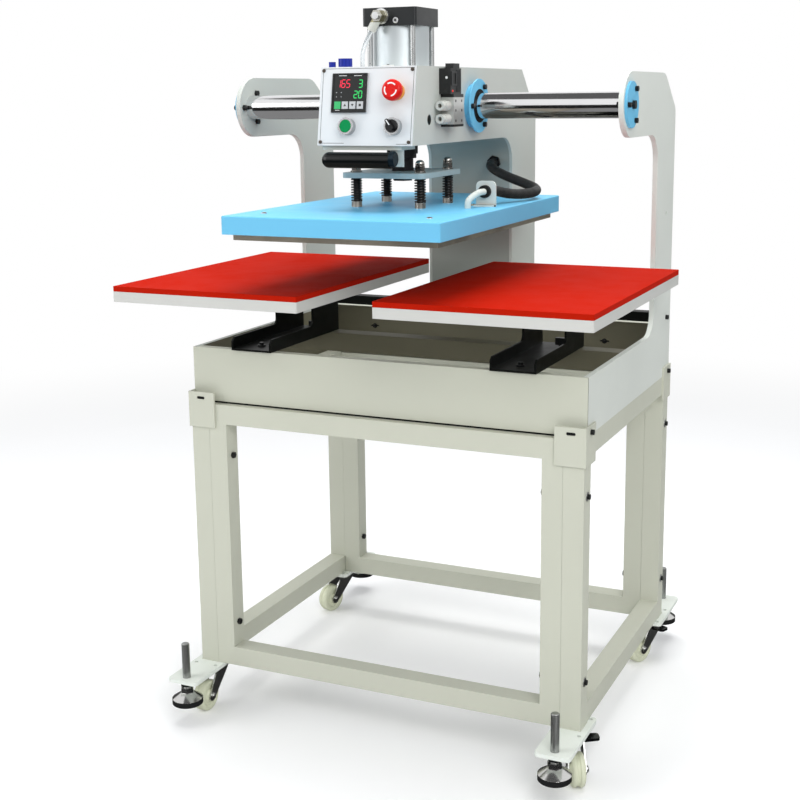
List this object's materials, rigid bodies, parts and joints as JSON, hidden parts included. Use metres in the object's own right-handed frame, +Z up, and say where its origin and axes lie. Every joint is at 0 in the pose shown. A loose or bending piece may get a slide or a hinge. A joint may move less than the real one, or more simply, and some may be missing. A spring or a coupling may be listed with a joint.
{
  "type": "dual station heat press",
  "caption": "pneumatic heat press whose head slides along a bar between two fixed work stations on a rolling stand",
  "frame": {"origin": "on the floor under the middle of the machine, where the caster wheels stand", "axes": "+X to the operator's right along the slide bar, +Y away from the operator, +Z up"},
  "size_m": [0.95, 0.9302, 1.427],
  "materials": {
    "stand_paint": "satin warm grey powder coat",
    "press_paint": "satin light grey paint",
    "panel_paint": "white lacquer",
    "blue_paint": "gloss sky blue paint",
    "black_paint": "satin black",
    "silicone": "matt red silicone",
    "cast_aluminium": "milled cast aluminium",
    "ground_bar": "ground and hard chromed",
    "zinc": "bright zinc plating",
    "foot_chrome": "polished chrome",
    "nylon": "natural cream nylon",
    "black_screws": "blackened steel",
    "cylinder_black": "black anodised",
    "cylinder_tube": "satin anodised",
    "black_plastic": "gloss black moulding",
    "valve_grey": "grey and black valve body",
    "spring_black": "black oiled spring wire",
    "stop_red": "gloss red moulding",
    "start_green": "gloss green moulding",
    "bezel_silver": "plated bezels",
    "knob_blue": "royal blue moulding",
    "hose_clear": "translucent polyurethane tube",
    "conduit_sleeve": "braided black sleeve"
  },
  "bodies": {
    "base": {"side_frames": "stand_paint", "cross_frames": "stand_paint", "foot_plates": "stand_paint", "caster_mounts": "zinc", "corner_brackets": "stand_paint", "frame_screws": "black_screws", "tray_front": "press_paint", "tray_rear": "press_paint", "tray_cross_rail": "press_paint", "end_plate_left": "press_paint", "end_plate_right": "press_paint", "slide_bar": "ground_bar", "end_flanges": "blue_paint", "guide_rail": "black_paint", "channel_supports": "black_paint", "lower_platens": "cast_aluminium", "silicone_pads": "silicone"},
    "head": {"head_plate_left": "press_paint", "head_plate_right": "press_paint", "head_cover": "press_paint", "head_liner": "press_paint", "control_panel": "panel_paint", "head_screws": "zinc", "bearing_flanges": "blue_paint", "controller": "black_plastic", "button_collars": "bezel_silver", "air_valve": "valve_grey", "cylinder_caps": "cylinder_black", "cylinder_barrel": "cylinder_tube", "air_hose": "hose_clear", "handle_grip": "black_plastic", "handle_bracket": "press_paint", "conduit": "conduit_sleeve"},
    "platen": {"platen_cover": "blue_paint", "heater_plate": "cast_aluminium", "spring_bolts": "zinc", "springs": "spring_black", "cable_bracket": "panel_paint"},
    "ram": {"ram": "ground_bar", "spring_plate": "press_paint"},
    "roller": {"guide_roller": "zinc"},
    "stop_button": {"stop_button": "stop_red"},
    "start_button": {"start_button": "start_green"},
    "selector": {"selector_knob": "black_plastic"},
    "pressure_knob": {"pressure_knob": "knob_blue"},
    "speed_knob": {"speed_knob": "knob_blue"},
    "levelling_foot_front_left": {"levelling_foot_front_left": "foot_chrome"},
    "caster_fork_front_left": {"caster_fork_front_left": "zinc"},
    "caster_wheel_front_left": {"caster_wheel_front_left": "nylon"},
    "levelling_foot_front_right": {"levelling_foot_front_right": "foot_chrome"},
    "caster_fork_front_right": {"caster_fork_front_right": "zinc"},
    "caster_wheel_front_right": {"caster_wheel_front_right": "nylon"},
    "brake_pedal_front_right": {"brake_pedal_front_right": "black_plastic"},
    "levelling_foot_rear_left": {"levelling_foot_rear_left": "foot_chrome"},
    "caster_fork_rear_left": {"caster_fork_rear_left": "zinc"},
    "caster_wheel_rear_left": {"caster_wheel_rear_left": "nylon"},
    "levelling_foot_rear_right": {"levelling_foot_rear_right": "foot_chrome"},
    "caster_fork_rear_right": {"caster_fork_rear_right": "zinc"},
    "caster_wheel_rear_right": {"caster_wheel_rear_right": "nylon"},
    "brake_pedal_rear_right": {"brake_pedal_rear_right": "black_plastic"}
  },
  "joints": [
    {"name": "head_slide", "type": "slide", "parent": "base", "child": "head", "axis": [1, 0, 0], "range_m": [-0.275, 0.275]},
    {"name": "platen_press", "type": "slide", "parent": "head", "child": "platen", "axis": [0, 0, 1], "range_m": [-0.0977, 0]},
    {"name": "spring_float", "type": "slide", "parent": "platen", "child": "ram", "axis": [0, 0, 1], "range_m": [-0.008, 0], "stiffness_N_per_m": 40000, "springref_m": 0.006, "deforming": ["springs"]},
    {"name": "roller_spin", "type": "hinge", "parent": "head", "child": "roller", "pos_m": [0, 0.306, 0.8131], "axis": [0, 1, 0], "continuous": true},
    {"name": "stop_push", "type": "slide", "parent": "head", "child": "stop_button", "axis": [0, 0.9871, -0.1603], "range_m": [0, 0.005]},
    {"name": "start_push", "type": "slide", "parent": "head", "child": "start_button", "axis": [0, 0.9871, -0.1603], "range_m": [0, 0.004], "stiffness_N_per_m": 400, "springref_m": -0.002},
    {"name": "selector_turn", "type": "hinge", "parent": "head", "child": "selector", "pos_m": [0.059, -0.31719, 1.21286], "axis": [0, -0.9871, 0.1603], "range_deg": [-76, 0]},
    {"name": "pressure_turn", "type": "hinge", "parent": "head", "child": "pressure_knob", "pos_m": [-0.063, -0.256, 1.325], "axis": [0, 0, 1], "range_deg": [-540, 540]},
    {"name": "speed_turn", "type": "hinge", "parent": "head", "child": "speed_knob", "pos_m": [-0.086, -0.264, 1.322], "axis": [0, 0, 1], "range_deg": [-540, 540]},
    {"name": "foot_screw_front_left", "type": "slide", "parent": "base", "child": "levelling_foot_front_left", "axis": [0, 0, 1], "range_m": [-0.044, 0.004]},
    {"name": "caster_swivel_front_left", "type": "hinge", "parent": "base", "child": "caster_fork_front_left", "pos_m": [-0.395, -0.265, 0.083], "axis": [0, 0, 1], "continuous": true},
    {"name": "wheel_spin_front_left", "type": "hinge", "parent": "caster_fork_front_left", "child": "caster_wheel_front_left", "pos_m": [-0.395, -0.307, 0.0325], "axis": [1, 0, 0], "continuous": true},
    {"name": "foot_screw_front_right", "type": "slide", "parent": "base", "child": "levelling_foot_front_right", "axis": [0, 0, 1], "range_m": [-0.044, 0.004]},
    {"name": "caster_swivel_front_right", "type": "hinge", "parent": "base", "child": "caster_fork_front_right", "pos_m": [0.395, -0.265, 0.083], "axis": [0, 0, 1], "continuous": true},
    {"name": "wheel_spin_front_right", "type": "hinge", "parent": "caster_fork_front_right", "child": "caster_wheel_front_right", "pos_m": [0.41472, -0.30208, 0.0325], "axis": [0.8829, 0.4695, 0], "continuous": true},
    {"name": "brake_front_right", "type": "hinge", "parent": "caster_fork_front_right", "child": "brake_pedal_front_right", "pos_m": [0.41756, -0.26206, 0.0777], "axis": [-0.4695, 0.8829, 0], "range_deg": [0, 18]},
    {"name": "foot_screw_rear_left", "type": "slide", "parent": "base", "child": "levelling_foot_rear_left", "axis": [0, 0, 1], "range_m": [-0.044, 0.004]},
    {"name": "caster_swivel_rear_left", "type": "hinge", "parent": "base", "child": "caster_fork_rear_left", "pos_m": [-0.395, 0.325, 0.083], "axis": [0, 0, 1], "continuous": true},
    {"name": "wheel_spin_rear_left", "type": "hinge", "parent": "caster_fork_rear_left", "child": "caster_wheel_rear_left", "pos_m": [-0.40728, 0.28484, 0.0325], "axis": [0.9563, -0.2924, 0], "continuous": true},
    {"name": "foot_screw_rear_right", "type": "slide", "parent": "base", "child": "levelling_foot_rear_right", "axis": [0, 0, 1], "range_m": [-0.044, 0.004]},
    {"name": "caster_swivel_rear_right", "type": "hinge", "parent": "base", "child": "caster_fork_rear_right", "pos_m": [0.395, 0.325, 0.083], "axis": [0, 0, 1], "continuous": true},
    {"name": "wheel_spin_rear_right", "type": "hinge", "parent": "caster_fork_rear_right", "child": "caster_wheel_rear_right", "pos_m": [0.37792, 0.28663, 0.0325], "axis": [0.9135, -0.4067, 0], "continuous": true},
    {"name": "brake_rear_right", "type": "hinge", "parent": "caster_fork_rear_right", "child": "brake_pedal_rear_right", "pos_m": [0.4112, 0.30903, 0.0777], "axis": [0.4067, 0.9135, 0], "range_deg": [0, 18]}
  ],
  "couplings": [
    {"joint": "roller_spin", "follows": "head_slide", "rad_per_m": 83.333}
  ]
}
